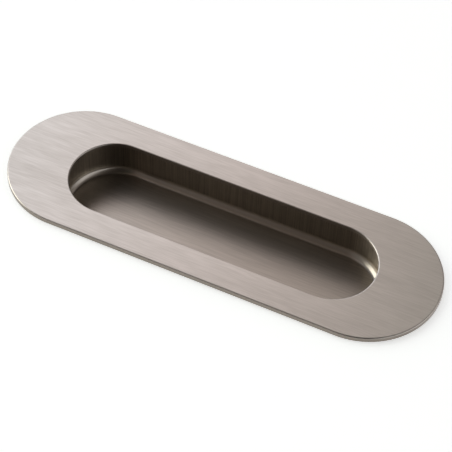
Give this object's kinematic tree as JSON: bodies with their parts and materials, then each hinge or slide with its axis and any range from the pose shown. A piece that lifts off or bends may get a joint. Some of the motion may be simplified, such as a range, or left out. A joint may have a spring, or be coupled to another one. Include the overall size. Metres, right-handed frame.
{
  "type": "flush pull",
  "caption": "Radius-ended flush pull: a flat brushed face plate with a long opening over a wider drawn finger cup, let into the face of a sliding door.",
  "frame": {"origin": "centre of the face plate's back, on the plane that lies on the door", "axes": "+X along the pull, +Z out of the door towards the user, so the cup goes down into the door along -Z"},
  "size_m": [0.12, 0.04, 0.0142],
  "materials": {
    "brushed_plate": "satin nickel, brushed along the length",
    "drawn_cup": "satin nickel, with draw lines on the wall"
  },
  "bodies": {
    "root": {"face_plate": "brushed_plate", "cup": "drawn_cup"}
  },
  "joints": []
}
